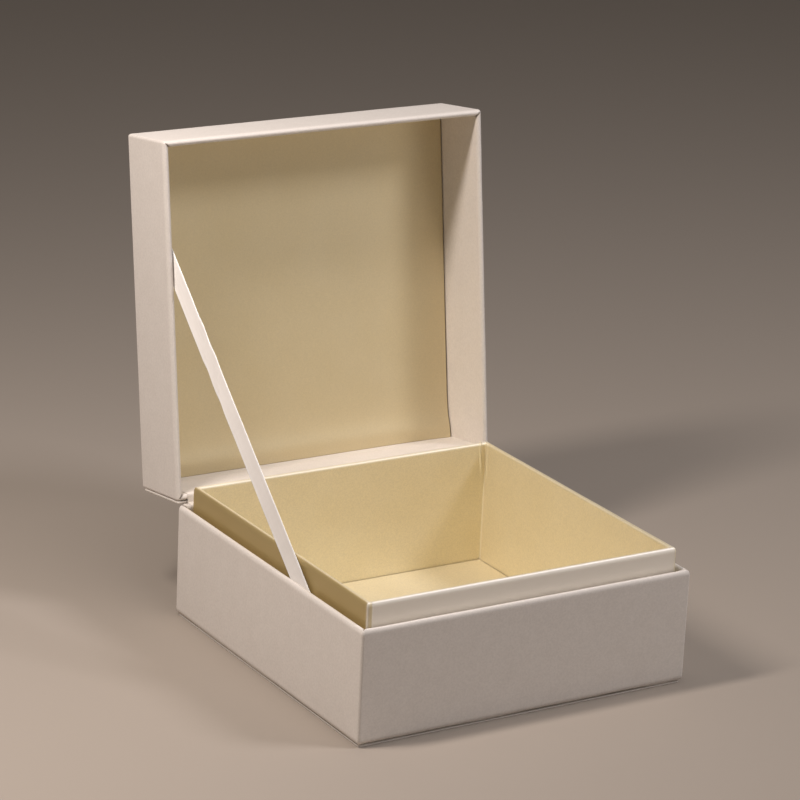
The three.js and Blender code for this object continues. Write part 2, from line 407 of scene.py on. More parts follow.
def greyboard(name, colour, fleck):
    """Greyboard pulped from waste paper and rolled: dull grey-brown, with darker and paler fibre flecks."""
    material, tree, shader = new_material(name, colour)
    place = add_node(tree, "TexCoord")
    # Flecks about 1.5 mm long.
    fibres = add_node(
        tree, "TexNoise",
        {"Vector": (place, "Object"), "Scale": grain(1.5 * MM), "Detail": 6.0, "Roughness": 0.7},
    )
    tone = add_node(tree, "Mix", {SHARE: (fibres, 0), FIRST: fleck, SECOND: colour}, data_type="RGBA")
    bump = add_node(tree, "Bump", {"Height": (fibres, 0), "Distance": 0.1 * MM, "Strength": 0.5})
    feed(tree, shader, {"Base Color": (tone, MIXED), "Roughness": 0.92, "Normal": (bump, 0)})
    return material


def gummed_tape(name, colour, fleck):
    """Brown kraft paper with a water-activated gum, machine-glazed: faint ribs across the roll, low sheen."""
    material, tree, shader = new_material(name, colour)
    place = add_node(tree, "TexCoord")
    # Ribs about 0.8 mm apart, up the wall.
    rib_scale = grain(0.8 * MM) / WAVES_IN_ONE
    ribs = add_node(
        tree, "TexWave",
        {"Vector": (place, "Object"), "Scale": rib_scale, "Distortion": 1.5, "Detail": 2.0},
        bands_direction="Z",
    )
    fibres = add_node(
        tree, "TexNoise",
        {"Vector": (place, "Object"), "Scale": grain(2 * MM), "Detail": 5.0, "Roughness": 0.6},
    )
    tone = add_node(tree, "Mix", {SHARE: (fibres, 0), FIRST: fleck, SECOND: colour}, data_type="RGBA")
    bump = add_node(tree, "Bump", {"Height": (ribs, "Fac"), "Distance": 0.03 * MM, "Strength": 0.5})
    feed(tree, shader, {"Base Color": (tone, MIXED), "Roughness": 0.6, "Normal": (bump, 0)})
    return material


def woven_satin(name, colour, shade, selvedge):
    """Polyester satin ribbon, woven with long floats along its length: a streaky silky shine along the
    threads, and a tight bright selvedge at each edge. Its UV map is in millimetres, across and along."""
    material, tree, shader = new_material(name, colour)
    cloth = add_node(tree, "UVMap", uv_map="UVMap")
    # Threads are about 0.1 mm. Their bundles are drawn 0.4 mm wide and 12 mm long so that they show.
    streaks = add_node(tree, "Mapping", {"Vector": (cloth, 0), "Scale": (1 / 0.4, 1 / 12, 1.0)})
    threads = add_node(
        tree, "TexNoise",
        {"Vector": (streaks, 0), "Scale": 1.0, "Detail": 3.0, "Roughness": 0.6},
    )
    # Weft picks 0.5 mm apart give the faint cross grain.
    picks = add_node(
        tree, "TexWave",
        {"Vector": (cloth, 0), "Scale": 1 / (0.5 * WAVES_IN_ONE), "Distortion": 0.6, "Detail": 1.0},
        bands_direction="Y",
    )
    tone = add_node(tree, "Mix", {SHARE: (threads, 0), FIRST: shade, SECOND: colour}, data_type="RGBA")
    border = add_node(tree, "Attribute", attribute_name="selvedge")
    edged = add_node(
        tree, "Mix", {SHARE: (border, "Fac"), FIRST: (tone, MIXED), SECOND: selvedge}, data_type="RGBA"
    )
    weave = add_node(tree, "Bump", {"Height": (threads, 0), "Distance": 0.05 * MM, "Strength": 0.5})
    bump = add_node(
        tree, "Bump",
        {"Height": (picks, "Fac"), "Normal": (weave, 0), "Distance": 0.02 * MM, "Strength": 0.4},
    )
    run = add_node(tree, "Tangent", direction_type="UV_MAP", uv_map="UVMap")
    roughness = add_node(
        tree, "MapRange",
        {"Value": (threads, 0), "From Min": 0.3, "From Max": 0.7, "To Min": 0.52, "To Max": 0.64},
    )
    feed(
        tree, shader,
        {
            "Base Color": (edged, MIXED),
            "Roughness": (roughness, 0),
            "Normal": (bump, 0),
            "Tangent": (run, 0),
            "Anisotropic": 0.9,
            "Metallic": 0.18,
            "Specular IOR Level": 0.6,
            "Sheen Weight": 0.15,
            "Sheen Roughness": 0.3,
        },
    )
    return material


def studio_sweep(name, colour):
    """Matt seamless background paper: one even pale tone, with a very soft tooth."""
    material, tree, shader = new_material(name, colour)
    place = add_node(tree, "TexCoord")
    tooth = add_node(tree, "TexNoise", {"Vector": (place, "Object"), "Scale": grain(2 * MM), "Detail": 3.0})
    bump = add_node(tree, "Bump", {"Height": (tooth, 0), "Distance": 0.05 * MM, "Strength": 0.3})
    feed(
        tree, shader,
        {"Base Color": colour, "Roughness": 0.9, "Normal": (bump, 0), "Specular IOR Level": 0.2},
    )
    return material


def the_material(make, name, *colours):
    """The material of that name, made the first time that it is asked for."""
    return bpy.data.materials.get(name) or make(name, *(tuple(colour) for colour in colours))


def covering(context):
    colours = context.scene.gift_box_colours
    tones = (colours.covering, colours.covering_shade, colours.crease)
    return the_material(laid_paper, "laid_covering_paper", *tones)


def pearl(context):
    colours = context.scene.gift_box_colours
    tones = (colours.pearl, colours.pearl_shade, colours.pearl_painted_highlight, colours.pearl_painted_sheen, colours.pearl_painted_shade)
    return the_material(pearl_paper, "mica_pearl_paper", *tones)


# ---------------------------------------------------------------- settings


def length(name, description, millimetres):
    return bpy.props.FloatProperty(
        name=name, description=description, default=millimetres * MM, min=0, precision=5, unit="LENGTH"
    )


def colour(name, description, code):
    return bpy.props.FloatVectorProperty(
        name=name, description=description, default=linear(code), size=4, min=0, max=1, subtype="COLOR"
    )


def angle(name, description, degrees):
    return bpy.props.FloatProperty(
        name=name, description=description, default=math.radians(degrees), unit="ROTATION"
    )


def power(name, description, watts):
    return bpy.props.FloatProperty(name=name, description=description, default=watts, min=0, unit="POWER")


class GiftBoxSizes(bpy.types.PropertyGroup):
    """Sizes of the papers, the folds and the ribbon."""

    paper: length("Paper", "Thickness of the covering and pearl papers", 0.2)
    lining_paper: length("Hinge lining", "Thickness of the paper inside the hinge", 0.12)
    corner: length("Upright corner", "Radius of the trays' upright corners", 1.2)
    foot_inset: length("Foot, inwards", "How far the base's foot is rounded inwards", 1.6)
    foot_height: length("Foot, upwards", "How far up the base's wall its foot is rounded", 2.65)
    turn_under: length("Turn-under", "Covering paper folded under the base", 15)
    turn_in: length("Turn-in", "Covering paper folded down inside the base's rim", 18)
    rim_outside: length("Rim, outside", "How far down a rim is rounded outside", 2.2)
    rim_inside: length("Rim, inside", "How far down a rim is rounded inside", 1.4)
    lid_edge: length("Lid edge", "Radius of the edges of the lid's top", 1.0)
    board: length("Tray board", "Thickness of the trays' greyboard", 1.75)
    neck_board: length("Neck board", "Thickness of the neck's greyboard", 1.8)
    board_edge: length("Board edge", "Rounding of the boards' level edges", 0.6)
    wall: length("Covered wall", "Thickness of a tray's covered wall", 2.6)
    neck_wall: length("Neck wall", "Thickness of the neck's covered wall", 2.4)
    neck_shoulder: length("Neck shoulder", "How far down the neck's top edge is rounded outside", 2.2)
    neck_corner: length("Neck corner", "Radius of the neck's upright corners", 0.8)
    overlap: length("Neck overlap", "How far the neck's paper overlaps on its front wall", 2.4)
    curl: length("Lining curl", "How far the lid lining's lower right corner stands forward", 2.4)
    ribbon_width: length("Ribbon width", "Width of the ribbon", 10)
    ribbon_lid_tab: length("Ribbon lid tab", "Ribbon glued inside the lid", 15)
    ribbon_base_tab: length("Ribbon base tab", "Ribbon glued inside the base", 20)


class GiftBoxColours(bpy.types.PropertyGroup):
    """Colours of the papers, boards and ribbon."""

    covering: colour("Covering paper", "Paper over both trays", "#ede7e1")
    covering_shade: colour("Covering paper, thin", "Where the covering paper's fibres lie thin", "#e6dfd8")
    # Partly scuffing and partly a painted highlight along the trays' rims.
    crease: colour("Crease", "Covering paper creased over an edge", "#f3efeb")
    pearl: colour("Pearl paper", "Paper on the neck, floor and lid lining", "#f5ecd1")
    pearl_shade: colour("Pearl paper, thin", "Where the pearl coat lies thin", "#eee3c3")
    # Painted highlight along the pearl paper's edges and corners.
    pearl_painted_highlight: colour("Pearl edge", "Pearl paper stretched over an edge", "#fffaee")
    # Painted sheen on the neck's front wall.
    pearl_painted_sheen: colour("Pearl, pale wall", "Pearl paper on the neck's front", "#f6f1e8")
    # Painted shade on the neck's left wall and the lid lining.
    pearl_painted_shade: colour("Pearl, deep wall", "Pearl paper on the neck's left", "#bda567")
    board: colour("Greyboard", "Board of the trays, neck, floor and lining", "#a59c90")
    board_fleck: colour("Greyboard fleck", "Dark fibres in the greyboard", "#8b8378")
    tape: colour("Gummed tape", "Tape over the tray boards' corners", "#b99a6c")
    tape_fleck: colour("Gummed tape fleck", "Dark fibres in the tape", "#9c7f54")
    satin: colour("Satin", "Ribbon's face", "#fdfbf9")
    satin_shade: colour("Satin shade", "Between the ribbon's threads", "#f0ece8")
    selvedge: colour("Selvedge", "Ribbon's woven edges", "#ffffff")


class StageSettings(bpy.types.PropertyGroup):
    """Where the camera and the lights stand, and how bright they are."""

    camera_place: bpy.props.FloatVectorProperty(
        name="Camera place",
        description="Where the camera stands",
        default=(-0.7001, -1.0996, 0.5394),
        unit="LENGTH",
    )
    camera_turn: angle("Camera turn", "Turned to the right of +Y", 31.836)
    camera_tilt: angle("Camera tilt", "Tilted downwards", 18.435)
    camera_roll: angle("Camera roll", "Rolled about its own axis", 2.687)
    lens: bpy.props.FloatProperty(
        name="Lens", description="Focal length in millimetres, on a 36 mm sensor", default=156.76, min=1
    )
    key_watts: power("Key light", "Small soft light above on the left", 2.75)
    front_watts: power("Front light", "Soft light above in front on the right", 4.9)
    top_watts: power("Top light", "Wide soft light straight above", 1.75)
    card_watts: power("Low card", "Card low in front on the right, seen only in gloss", 1.2)
    ambient: bpy.props.FloatProperty(
        name="Ambient light", description="Brightness of the room", default=0.16, min=0, subtype="FACTOR"
    )
    room: colour("Room", "Tint of the room's light", "#e9e4df")
    floor: colour("Floor", "Background paper under and behind the box", "#aaa096")


# ---------------------------------------------------------------- operators

SIDE_SHARES = eased(41)


class BuildTrayCovers(bpy.types.Operator):
    """Covers the base and lid trays with paper, turned under the base and in over both rims"""

    bl_idname = "gift_box.tray_covers"
    bl_label = "Tray covers"

    def execute(self, context):
        sizes = context.scene.gift_box_sizes
        stations = loop_stations(16, SIDE_SHARES)
        half_wall = sizes.wall / 2
        low, high = rest_box("base_cover_paper")
        foot = low[2] + sizes.foot_height
        base_profile = joined(
            line((sizes.turn_under, low[2]), (sizes.foot_inset, low[2]), 8),
            bend((sizes.foot_inset, foot), (sizes.foot_inset, sizes.foot_height), 270, 180, 14),
            line((0, foot), (0, high[2] - sizes.rim_outside), 26),
            bend((half_wall, high[2] - sizes.rim_outside), (half_wall, sizes.rim_outside), 180, 90, 15),
            bend((half_wall, high[2] - sizes.rim_inside), (half_wall, sizes.rim_inside), 90, 0, 13),
            line((sizes.wall, high[2] - sizes.rim_inside), (sizes.wall, high[2] - sizes.turn_in), 12),
        )
        points = self.cover(base_profile, low, high, stations, high[2], 1, 3)
        piece = self.sheet("base_covering", points, base_profile, low, high, high[2])
        finished(piece, covering(context), "covering_paper", "base_cover_paper")
        thickened(piece, sizes.paper)
        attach(piece, "base")

        low, high = shut_box("lid_cover_paper")
        floor = shut_box("lid_lining_card")[1][2]
        edge = sizes.lid_edge
        lid_profile = joined(
            line((sizes.wall, floor), (sizes.wall, low[2] + sizes.rim_inside), 14),
            bend((half_wall, low[2] + sizes.rim_inside), (half_wall, sizes.rim_inside), 360, 270, 13),
            bend((half_wall, low[2] + sizes.rim_outside), (half_wall, sizes.rim_outside), 270, 180, 15),
            line((0, low[2] + sizes.rim_outside), (0, high[2] - edge), 20),
            bend((edge, high[2] - edge), (edge, edge), 180, 90, 10),
            line((edge, high[2]), ((high[1] - low[1]) / 2, high[2]), 16),
        )
        points = self.cover(lid_profile, low, high, stations, low[2], -1, 7)
        piece = self.sheet("lid_covering", opened(points), lid_profile, low, high, low[2], points)
        welded(piece)
        finished(piece, covering(context), "covering_paper", "lid_cover_paper")
        thickened(piece, sizes.paper)
        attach(piece, "lid")
        return {"FINISHED"}

    def cover(self, profile, low, high, stations, rim, up, seed):
        """A profile carried round a tray, moved along its normals by a soft unevenness of the walls and by a
        mitred tuck at each corner of the rim, a narrow groove beside one paper's thickness of overlap."""
        corner = bpy.context.scene.gift_box_sizes.corner
        points = carried(profile, low, high, corner, stations)
        normal = grid_normals(points)
        inset = profile[:, 0][None, :]
        depth = (rim - profile[:, 1][None, :]) * up
        aside = from_diagonal(points, low, high)
        at_rim = smooth_step(inset, 0.4 * MM, 1.1 * MM) * smooth_step(-depth, -7 * MM, -4 * MM)
        groove = -0.22 * MM * np.exp(-((aside / (0.16 * MM)) ** 2))
        flap = 0.14 * MM * smooth_step(aside, 0, 0.25 * MM) * smooth_step(-aside, -3.5 * MM, -1.5 * MM)
        uneven = 0.05 * MM * waves(points, 42 * MM, seed) + 0.02 * MM * waves(points, 11 * MM, seed + 1)
        held = smooth_step(-inset, -4 * MM, -2.8 * MM)
        return points + normal * (at_rim * (groove + flap) + uneven * held - 0.05 * MM)[..., None]

    def sheet(self, name, points, profile, low, high, rim, flat=None):
        """The cover's surface with its fold attribute, high round the rim, which paints a paler crease that
        is partly scuffing and partly a painted highlight, and its tuck attribute, a few dark specks of
        painted shade where the corners are tucked in."""
        flat = points if flat is None else flat
        inset = profile[:, 0][None, :]
        depth = np.abs(rim - profile[:, 1][None, :])
        # The fold tone paints the rim paler: partly scuffing, partly a painted highlight.
        fold = np.exp(-((depth / (1.1 * MM)) ** 2)) * np.ones(points.shape[:2])
        aside = from_diagonal(flat, low, high)
        near = np.exp(-((aside / (0.32 * MM)) ** 2)) * smooth_step(inset, 0.6 * MM, 1.2 * MM)
        # Painted shade: dark specks in the tucks of the mitred corners.
        tuck = near * smooth_step(-depth, -3.2 * MM, -0.4 * MM)
        tuck = tuck * smooth_step(waves(flat, 2.2 * MM, 5), -0.7, -0.2)
        return surface(name, points, loop=True, attributes={"fold": fold * 0.2, "tuck": tuck * 0.9})


def rounded_card(low, high, corner, edge, stations, inner_steps=12):
    """The points of a card with rounded edges: from the middle of its lower face out, round, and back to
    the middle of its upper face."""
    reach = (high[1] - low[1]) / 2
    profile = joined(
        line((reach, low[2]), (edge, low[2]), inner_steps),
        bend((edge, low[2] + edge), (edge, edge), 270, 180, 6),
        line((0, low[2] + edge), (0, high[2] - edge), 3),
        bend((edge, high[2] - edge), (edge, edge), 180, 90, 6),
        line((edge, high[2]), (reach, high[2]), inner_steps),
    )
    return carried(profile, low, high, corner, stations)


class BuildUndersidePanel(bpy.types.Operator):
    """Adds the covered card under the base, which shows as a thin lip"""

    bl_idname = "gift_box.underside_panel"
    bl_label = "Underside panel"

    def execute(self, context):
        sizes = context.scene.gift_box_sizes
        low, high = rest_box("base_underside_panel")
        points = rounded_card(low, high, sizes.corner, 0.3 * MM, loop_stations(10, SIDE_SHARES))
        points[..., :2] *= 1 + 0.0006 * waves(points, 60 * MM, 11)[..., None] - 0.0006
        piece = welded(surface("underside_panel", points, loop=True))
        finished(piece, covering(context), "covering_paper", "base_underside_panel")
        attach(piece, "base")
        return {"FINISHED"}


class BuildNeck(bpy.types.Operator):
    """Covers the neck and the floor with pearl paper"""

    bl_idname = "gift_box.neck"
    bl_label = "Neck and floor"

    def execute(self, context):
        sizes = context.scene.gift_box_sizes
        low, high = rest_box("neck_cover_paper")
        half_wall, shoulder = sizes.neck_wall / 2, sizes.neck_shoulder
        seam = sizes.overlap / (high[0] - low[0])
        fine = seam + np.linspace(-0.006, 0.006, 9)
        shares = np.unique(np.concatenate([SIDE_SHARES, fine, 1 - fine]))
        stations = loop_stations(12, shares)
        profile = joined(
            line((0, low[2]), (0, high[2] - shoulder), 30),
            bend((half_wall, high[2] - shoulder), (half_wall, shoulder), 180, 90, 15),
            bend((half_wall, high[2] - half_wall), (half_wall, half_wall), 90, 0, 13),
            line((sizes.neck_wall, high[2] - half_wall), (sizes.neck_wall, low[2]), 60),
        )
        points = carried(profile, low, high, sizes.neck_corner, stations)
        normal = grid_normals(points)
        inset = profile[:, 0][None, :]
        outside = smooth_step(-inset, -1.6 * MM, -0.8 * MM)
        inside = 1 - outside
        x, y = points[..., 0], points[..., 1]
        # The paper's end laps over its start on the front wall, beside the front left corner.
        on_front = smooth_step(-y, -low[1] - 1.2 * MM, -low[1] - 0.6 * MM) * outside
        lap_end = low[0] + sizes.overlap
        lap = 0.2 * MM * smooth_step(-x, -lap_end - 0.12 * MM, -lap_end + 0.12 * MM)
        # Loose paper pleats up the inner back right corner: two soft ridges that lean apart downwards.
        down = high[2] - points[..., 2]
        aside = (high[0] - sizes.neck_wall - x) - (high[1] - sizes.neck_wall - y)
        fade = smooth_step(-down, -24 * MM, -8 * MM) * inside
        near = smooth_step(x, high[0] - 12 * MM, high[0] - 6 * MM)
        near = near * smooth_step(y, high[1] - 12 * MM, high[1] - 6 * MM)
        ridges = np.exp(-(((aside - 1.6 * MM - 1.2 * MM * np.cos(down / (7 * MM))) / (0.38 * MM)) ** 2))
        ridges = ridges + 0.7 * np.exp(-(((aside + 1.0 * MM + 0.05 * down) / (0.45 * MM)) ** 2))
        pleats = 0.8 * MM * ridges * fade * near
        # A painted highlight up the inner back right corner.
        corner_line = 0.6 * np.exp(-(((aside + 0.4 * MM) / (0.3 * MM)) ** 2)) * inside * near
        uneven = 0.05 * MM * waves(points, 30 * MM, 21) + 0.02 * MM * waves(points, 9 * MM, 22)
        points = points + normal * (on_front * lap + pleats + uneven - 0.06 * MM)[..., None]
        # Painted highlight: the fold tone below makes the pearl paler along the top edge of the front and
        # back walls, up the front left corner and along the lap's edge.
        top = np.exp(-(((high[2] - profile[:, 1][None, :]) / (1.0 * MM)) ** 2)) * np.ones(points.shape[:2])
        aside = from_diagonal(points, low, high)
        seam_corner = smooth_step(-x - y, 100 * MM, 120 * MM) * outside
        upright = np.exp(-((aside / (0.55 * MM)) ** 2))
        lap_edge = np.exp(-(((x - low[0] - sizes.overlap) / (0.2 * MM)) ** 2)) * on_front
        on_ends = smooth_step(np.abs(y), high[1] - 3.6 * MM, high[1] - 2.6 * MM)
        fold = np.maximum(0.5 * top * on_ends, np.maximum(upright, 0.8 * lap_edge) * seam_corner)
        fold = np.maximum(fold, corner_line)
        before_lap = smooth_step(aside, 0.4 * MM, 0.7 * MM) * smooth_step(lap_end - x, 0.1 * MM, 0.3 * MM)
        # Painted sheen: the front outer wall is made paler, less so in a band beside the front left corner,
        # and not on the upright corners.
        pale_wall = on_front * (1 - 0.9 * before_lap * seam_corner) * (1 - upright)
        # Painted shade: the left outer wall, and at half strength a band beside the front left corner, are
        # made deeper gold.
        on_left = smooth_step(-x, -low[0] - 1.2 * MM, -low[0] - 0.4 * MM) * outside
        deep_wall = np.maximum(on_left, 0.5 * before_lap * seam_corner * on_front)
        deep_wall = deep_wall * (1 - upright * seam_corner)
        tones = {"fold": fold, "pale_wall": pale_wall, "deep_wall": 0.85 * deep_wall}
        piece = surface("neck_covering", points, loop=True, attributes=tones)
        finished(piece, pearl(context), "pearl_paper", "neck_cover_paper")
        thickened(piece, sizes.paper)
        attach(piece, "base")

        low, high = rest_box("floor_paper")
        points = rounded_card(low, high, 0.4 * MM, 0.1 * MM, loop_stations(6, SIDE_SHARES), 20)
        points[..., 2] += 0.06 * MM * waves(points, 70 * MM, 31) - 0.06 * MM
        piece = welded(surface("tray_floor", points, loop=True))
        finished(piece, pearl(context), "pearl_paper", "floor_paper")
        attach(piece, "base")
        return {"FINISHED"}


class BuildLidLining(bpy.types.Operator):
    """Adds the pearl-covered card inside the lid, with its lower edge and corner curling forward"""

    bl_idname = "gift_box.lid_lining"
    bl_label = "Lid lining"

    def execute(self, context):
        sizes = context.scene.gift_box_sizes
        low, _ = shut_box("lid_lining_paper")
        high = shut_box("lid_lining_card")[1]
        points = rounded_card(low, high, 0.6 * MM, 0.35 * MM, loop_stations(8, SIDE_SHARES), 40)
        x, y = points[..., 0], points[..., 1]
        from_hinge = high[1] - y
        from_right = high[0] - x
        crown = 0.7 * MM * np.exp(-(((from_hinge - 5 * MM) / (3.5 * MM)) ** 2))
        corner = sizes.curl * np.exp(-(from_hinge + 0.8 * from_right) / (7 * MM))
        bow = 0.5 * MM * waves(points, 130 * MM, 41)
        inwards = smooth_step(np.minimum(from_hinge, from_right), 0, 30 * MM)
        points[..., 2] -= crown + corner + np.abs(bow) * inwards
        points[..., 1] += 0.52 * MM * np.exp(-from_hinge / (3 * MM))
        # Painted shade: the panel's pearl paper is mixed about a third of the way towards the deeper gold,
        # varying slowly across it.
        deep_wall = 0.36 + 0.08 * waves(points, 90 * MM, 43)
        piece = welded(surface("lid_lining", opened(points), loop=True, attributes={"deep_wall": deep_wall}))
        finished(piece, pearl(context), "pearl_paper", "lid_lining_paper", "lid_lining_card")
        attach(piece, "lid")
        return {"FINISHED"}


def bent_strip(corners, radii, spacing=0.6 * MM):
    """A path through corners, each rounded off within its radius by a parabola, as rows of (y, z)."""
    corners = np.array(corners)
    ends = [corners[0]]
    parts = []
    for before, corner, after, radius in zip(corners[:-2], corners[1:-1], corners[2:], radii):
        start = corner + (before - corner) * radius / np.linalg.norm(before - corner)
        stop = corner + (after - corner) * radius / np.linalg.norm(after - corner)
        parts.append(straight(ends[-1], start, spacing))
        t = np.linspace(0, 1, 9)[:, None]
        parts.append((1 - t) ** 2 * start + 2 * t * (1 - t) * corner + t**2 * stop)
        ends.append(stop)
    parts.append(straight(ends[-1], corners[-1], spacing))
    return joined(*parts)


def straight(start, end, spacing):
    count = max(2, int(np.linalg.norm(np.array(end) - np.array(start)) / spacing))
    return start + np.linspace(0, 1, count)[:, None] * (end - start)


def across(path, low_x, high_x, count):
    """A (y, z) path carried along x: a grid of rows across and columns along the path."""
    x = low_x + eased(count)[:, None] * (high_x - low_x)
    grid = np.empty((count, len(path), 3))
    grid[..., 0] = x
    grid[..., 1] = path[:, 0]
    grid[..., 2] = path[:, 1]
    return grid


def lid_line(depth, *heights):
    """Places on a lid surface with the lid open, from how far it lies beyond the hinge and above it."""
    shut = np.array([(0, HINGE[1] + depth, HINGE[2] + height) for height in heights])
    return opened(shut)[:, 1:]


class BuildHinge(bpy.types.Operator):
    """Adds the card on the lid's back and the papers over the hinge, outside and inside"""

    bl_idname = "gift_box.hinge"
    bl_label = "Hinge papers"

    def execute(self, context):
        sizes = context.scene.gift_box_sizes
        paper = covering(context)
        low, high = shut_box("lid_hinge_flap")
        swapped = [0, 2, 1]
        stations = loop_stations(8, SIDE_SHARES)
        points = rounded_card(low[swapped], high[swapped], 0.8 * MM, 0.35 * MM, stations)
        points = opened(points[..., swapped])
        piece = welded(surface("hinge_flap", points, loop=True, flip=True))
        finished(piece, paper, "covering_paper", "lid_hinge_flap")
        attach(piece, "lid")

        low, high = rest_box("hinge_strip_base_half")
        lid_low, lid_high = shut_box("hinge_strip_lid_half")
        beyond = lid_high[1] - HINGE[1]
        crease = crossing(high[1], beyond)
        tip = lid_line(beyond, lid_high[2] - HINGE[2])[0]
        path = bent_strip([(high[1], low[2]), crease, tip], [1.2 * MM])
        points = across(path, low[0], high[0], 60)
        points[..., 0] += 0.15 * MM * waves(points, 25 * MM, 51)
        piece = surface("hinge_strip", points, flip=True)
        finished(piece, paper, "covering_paper", "hinge_strip_base_half", "hinge_strip_lid_half")
        thickened(piece, sizes.paper)
        self.across_hinge(piece, path, crease)

        low, high = rest_box("hinge_lining_base_half")
        lid_low, lid_high = shut_box("hinge_lining_lid_half")
        rim = rest_box("base_cover_paper")[1][2]
        over_rim = rim + sizes.lining_paper + 0.01 * MM
        lid_rim = shut_box("lid_cover_paper")[0][2] - HINGE[2] - sizes.lining_paper - 0.01 * MM
        inner = lid_low[1] - HINGE[1]
        fold = (HINGE[1], over_rim)
        path = bent_strip(
            [
                (low[1], low[2]),
                (low[1], over_rim),
                fold,
                lid_line(inner, lid_rim)[0],
                lid_line(inner, lid_high[2] - HINGE[2])[0],
            ],
            [1.2 * MM, 0.5 * MM, 1.2 * MM],
            0.5 * MM,
        )
        points = across(path, low[0], high[0], 90)
        ends = smooth_step(np.abs(points[..., 0]), high[0] - 8 * MM, high[0])
        near_fold = np.exp(-(np.hypot(points[..., 1] - fold[0], points[..., 2] - fold[1]) / (4 * MM)) ** 2)
        puckers = 0.15 * MM * ends * near_fold * waves(points, 6 * MM, 61, 3)
        points[..., 1] -= np.abs(puckers)
        points[..., 2] += np.abs(puckers)
        piece = surface("hinge_lining", points)
        finished(piece, paper, "covering_paper", "hinge_lining_base_half", "hinge_lining_lid_half")
        thickened(piece, sizes.lining_paper)
        self.across_hinge(piece, path, fold)
        return {"FINISHED"}

    def across_hinge(self, piece, path, crease):
        """Bakes the paper's transform into its points. Its path and crease are not used."""
        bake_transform(piece)


def crossing(y, beyond):
    """Where the upright line at y meets the line at beyond past the hinge on the open lid."""
    first, second = lid_line(beyond, 0, 10 * MM)
    share = (y - first[0]) / (second[0] - first[0])
    return tuple(first + share * (second - first))


# Soft slanting wrinkles: how far up the free ribbon, how broad, and how far out or in, in millimetres.
RIBBON_TUCKS = ((92, 3.0, 0.35), (99, 2.2, -0.3), (107, 3.2, 0.4), (114, 2.4, -0.25))


class BuildRibbon(bpy.types.Operator):
    """Adds the satin ribbon that stops the lid, from inside the base's left wall to inside the lid's"""

    bl_idname = "gift_box.ribbon"
    bl_label = "Ribbon"

    def execute(self, context):
        sizes = context.scene.gift_box_sizes
        base_low, base_high = rest_box("ribbon_base_tab")
        lid_low, lid_high = shut_box("ribbon_lid_tab")
        start = np.array([(base_low[1] + base_high[1]) / 2, base_high[2]])
        lid_middle = (lid_low[1] + lid_high[1]) / 2 - HINGE[1]
        end = lid_line(lid_middle, lid_low[2] - HINGE[2])[0]
        along = (end - start) / np.linalg.norm(end - start)
        sideways = np.array([along[1], -along[0]])
        free = np.linalg.norm(end - start)
        run = np.linspace(-sizes.ribbon_base_tab, free + sizes.ribbon_lid_tab, 260)
        width = sizes.ribbon_width
        over = np.linspace(-width / 2, width / 2, 25)
        middle = start + run[:, None] * along
        points = np.full((len(over), len(run), 3), base_high[0])
        points[..., 1:] = middle[None, :, :] + over[:, None, None] * sideways
        spare = smooth_step(run, 2 * MM, 14 * MM) * smooth_step(-run, -free + 1 * MM, -free + 10 * MM)
        cup = 0.18 * MM * (1 - (2 * over / width) ** 2)[:, None]
        slant = run[None, :] + 1.6 * over[:, None]
        tucks = sum(
            depth * MM * np.exp(-(((slant - place * MM) / (breadth * MM)) ** 2))
            for place, breadth, depth in RIBBON_TUCKS
        )
        lift = spare * (cup + tucks * 0.6 + 0.08 * MM * waves(points, 24 * MM, 71))
        points[..., 0] = base_high[0] + np.maximum(lift, -0.05 * MM)
        edge = np.clip((np.abs(over) - width / 2 + 1.1 * MM) / (0.4 * MM), 0, 1)
        selvedge = np.repeat(edge[:, None], len(run), axis=1)
        uv = np.stack(np.broadcast_arrays(over[:, None] / MM, run[None, :] / MM), axis=-1)
        piece = surface("ribbon_stay", points, attributes={"selvedge": selvedge}, uv=uv, flip=True)
        colours = context.scene.gift_box_colours
        tones = (colours.satin, colours.satin_shade, colours.selvedge)
        satin = the_material(woven_satin, "polyester_satin", *tones)
        finished(piece, satin, "satin_ribbon", "ribbon_base_tab", "ribbon_span", "ribbon_lid_tab")
        thickened(piece, 0.25 * MM)
        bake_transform(piece)
        return {"FINISHED"}


